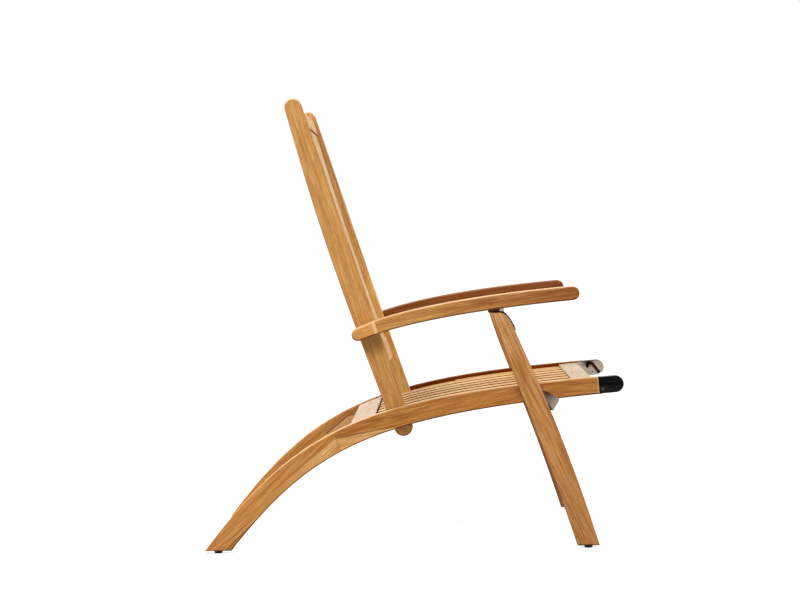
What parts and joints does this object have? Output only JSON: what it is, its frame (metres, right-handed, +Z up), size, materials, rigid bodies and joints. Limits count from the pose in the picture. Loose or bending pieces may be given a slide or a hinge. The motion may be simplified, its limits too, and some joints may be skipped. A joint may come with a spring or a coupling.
{
  "type": "folding teak armchair",
  "caption": "Folding wooden armchair with a slatted seat and back, long curved armrests, rails sweeping down into the rear feet, and hook fittings for a footrest.",
  "frame": {"origin": "on the floor, under the middle of the chair's bounding box", "axes": "+X towards the front of the chair, +Y towards the sitter's left, +Z up"},
  "size_m": [0.9306, 0.6, 0.9978],
  "materials": {
    "frame_teak": "smooth sanded teak with fine straight grain, lightly oiled",
    "slat_teak": "paler sanded teak with fine straight grain",
    "pale_teak": "pale teak, end pieces and plugs, matt",
    "steel": "brushed stainless",
    "dark_steel": "dark stained steel strap",
    "black_plastic": "glossy moulded black",
    "black_rubber": "matt black"
  },
  "bodies": {
    "seat_frame": {"rear_seat_crossrail": "frame_teak", "front_seat_crossrail": "frame_teak", "seat_bearer": "frame_teak", "seat_slat_1": "slat_teak", "seat_slat_2": "slat_teak", "seat_slat_3": "slat_teak", "seat_slat_4": "slat_teak", "seat_slat_5": "slat_teak", "seat_slat_6": "slat_teak", "right_seat_rail": "frame_teak", "right_outer_seat_slat": "slat_teak", "right_hook_cap": "black_plastic", "right_hook_plate": "steel", "right_hook_screw": "steel", "right_stop_bracket": "steel", "right_stop_buffer": "black_rubber", "right_rear_foot_pad": "black_rubber", "right_back_pivot_bolt": "steel", "right_leg_pivot_bolt": "steel", "right_leg_washer": "steel", "left_seat_rail": "frame_teak", "left_outer_seat_slat": "slat_teak", "left_hook_cap": "black_plastic", "left_hook_plate": "steel", "left_hook_screw": "steel", "left_stop_bracket": "steel", "left_stop_buffer": "black_rubber", "left_rear_foot_pad": "black_rubber", "left_back_pivot_bolt": "steel", "left_leg_pivot_bolt": "steel", "left_leg_washer": "steel"},
    "back": {"back_top_rail": "frame_teak", "back_bottom_rail": "frame_teak", "back_slat_1": "slat_teak", "back_slat_2": "slat_teak", "back_slat_3": "slat_teak", "back_slat_4": "slat_teak", "back_slat_5": "slat_teak", "back_slat_6": "slat_teak", "right_back_stile": "frame_teak", "right_arm_pivot_bolt": "steel", "left_back_stile": "frame_teak", "left_arm_pivot_bolt": "steel"},
    "right_arm": {"right_armrest": "frame_teak", "right_arm_cheek": "pale_teak", "right_arm_plug": "pale_teak", "right_arm_hinge_leaf": "dark_steel"},
    "left_arm": {"left_armrest": "frame_teak", "left_arm_cheek": "pale_teak", "left_arm_plug": "pale_teak", "left_arm_hinge_leaf": "dark_steel"},
    "right_leg": {"right_front_leg": "frame_teak", "right_leg_plug": "pale_teak", "right_leg_hinge_strap": "dark_steel", "right_front_foot_pad": "black_rubber"},
    "left_leg": {"left_front_leg": "frame_teak", "left_leg_plug": "pale_teak", "left_leg_hinge_strap": "dark_steel", "left_front_foot_pad": "black_rubber"}
  },
  "joints": [
    {"name": "back_fold", "type": "hinge", "parent": "seat_frame", "child": "back", "pos_m": [-0.01955, 0, 0.30035], "axis": [0, 1, 0], "range_deg": [0, 85]},
    {"name": "right_leg_fold", "type": "hinge", "parent": "seat_frame", "child": "right_leg", "pos_m": [0.25245, -0.273, 0.33326], "axis": [0, 1, 0], "range_deg": [0, 85]},
    {"name": "right_arm_hinge", "type": "hinge", "parent": "back", "child": "right_arm", "pos_m": [-0.09755, -0.245, 0.48785], "axis": [0, 1, 0], "range_deg": [-85, 0]},
    {"name": "left_leg_fold", "type": "hinge", "parent": "seat_frame", "child": "left_leg", "pos_m": [0.25245, 0.273, 0.33326], "axis": [0, 1, 0], "range_deg": [0, 85]},
    {"name": "left_arm_hinge", "type": "hinge", "parent": "back", "child": "left_arm", "pos_m": [-0.09755, 0.245, 0.48785], "axis": [0, 1, 0], "range_deg": [-85, 0]}
  ],
  "couplings": [
    {"joint": "right_leg_fold", "follows": "back_fold", "ratio": 1},
    {"joint": "right_arm_hinge", "follows": "back_fold", "ratio": -1},
    {"joint": "left_leg_fold", "follows": "back_fold", "ratio": 1},
    {"joint": "left_arm_hinge", "follows": "back_fold", "ratio": -1}
  ]
}
